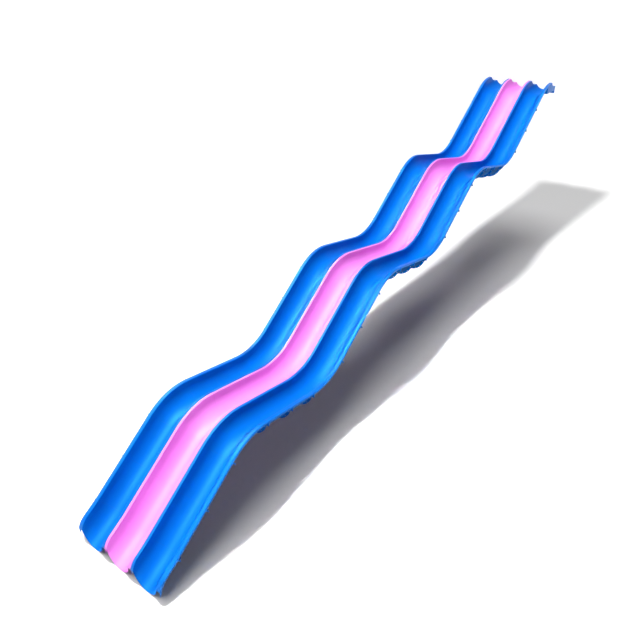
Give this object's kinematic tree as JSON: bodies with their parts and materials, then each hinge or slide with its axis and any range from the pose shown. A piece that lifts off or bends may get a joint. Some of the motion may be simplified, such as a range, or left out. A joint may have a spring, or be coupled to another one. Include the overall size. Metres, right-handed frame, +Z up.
{
  "type": "wave slide",
  "caption": "Open moulded channels side by side, each bolted together from short sections, that fall in straight drops and low waves from a start tray to a run-out at the ground.",
  "frame": {"origin": "centre of the four tower bolts in the middle lane's start flange, on the flange's back face", "axes": "+X across the lanes, to the right of someone who looks up the slide from its foot; +Y back from the flange towards the tower; +Z up. The slide runs down towards -Y"},
  "size_m": [2.824, 23.4367, 7.3062],
  "materials": {
    "blue_gelcoat": "glossy blue gelcoat on glass-fibre laminate",
    "pink_gelcoat": "glossy pink gelcoat on glass-fibre laminate",
    "seal_rubber": "dark EPDM sealing strip",
    "stainless_steel": "plain stainless fasteners"
  },
  "bodies": {
    "root": {"left_lane_start": "blue_gelcoat", "left_lane_drop_1": "blue_gelcoat", "left_lane_wave_1_valley": "blue_gelcoat", "left_lane_wave_1_lower_rise": "blue_gelcoat", "left_lane_wave_1_upper_rise": "blue_gelcoat", "left_lane_wave_1_crest": "blue_gelcoat", "left_lane_drop_2": "blue_gelcoat", "left_lane_wave_2_valley": "blue_gelcoat", "left_lane_wave_2_lower_rise": "blue_gelcoat", "left_lane_wave_2_upper_rise": "blue_gelcoat", "left_lane_wave_2_crest": "blue_gelcoat", "left_lane_drop_3": "blue_gelcoat", "left_lane_wave_3_valley": "blue_gelcoat", "left_lane_wave_3_lower_rise": "blue_gelcoat", "left_lane_wave_3_upper_rise": "blue_gelcoat", "left_lane_wave_3_crest": "blue_gelcoat", "left_lane_drop_4": "blue_gelcoat", "left_lane_run_out": "blue_gelcoat", "middle_lane_start": "pink_gelcoat", "middle_lane_drop_1": "pink_gelcoat", "middle_lane_wave_1_valley": "pink_gelcoat", "middle_lane_wave_1_lower_rise": "pink_gelcoat", "middle_lane_wave_1_upper_rise": "pink_gelcoat", "middle_lane_wave_1_crest": "pink_gelcoat", "middle_lane_drop_2": "pink_gelcoat", "middle_lane_wave_2_valley": "pink_gelcoat", "middle_lane_wave_2_lower_rise": "pink_gelcoat", "middle_lane_wave_2_upper_rise": "pink_gelcoat", "middle_lane_wave_2_crest": "pink_gelcoat", "middle_lane_drop_3": "pink_gelcoat", "middle_lane_wave_3_valley": "pink_gelcoat", "middle_lane_wave_3_lower_rise": "pink_gelcoat", "middle_lane_wave_3_upper_rise": "pink_gelcoat", "middle_lane_wave_3_crest": "pink_gelcoat", "middle_lane_drop_4": "pink_gelcoat", "middle_lane_run_out": "pink_gelcoat", "right_lane_start": "blue_gelcoat", "right_lane_drop_1": "blue_gelcoat", "right_lane_wave_1_valley": "blue_gelcoat", "right_lane_wave_1_lower_rise": "blue_gelcoat", "right_lane_wave_1_upper_rise": "blue_gelcoat", "right_lane_wave_1_crest": "blue_gelcoat", "right_lane_drop_2": "blue_gelcoat", "right_lane_wave_2_valley": "blue_gelcoat", "right_lane_wave_2_lower_rise": "blue_gelcoat", "right_lane_wave_2_upper_rise": "blue_gelcoat", "right_lane_wave_2_crest": "blue_gelcoat", "right_lane_drop_3": "blue_gelcoat", "right_lane_wave_3_valley": "blue_gelcoat", "right_lane_wave_3_lower_rise": "blue_gelcoat", "right_lane_wave_3_upper_rise": "blue_gelcoat", "right_lane_wave_3_crest": "blue_gelcoat", "right_lane_drop_4": "blue_gelcoat", "right_lane_run_out": "blue_gelcoat", "joint_seals": "seal_rubber", "rim_seals": "seal_rubber", "joint_bolts": "stainless_steel", "joint_nuts": "stainless_steel", "rim_bolts": "stainless_steel", "rim_nuts": "stainless_steel"}
  },
  "joints": []
}
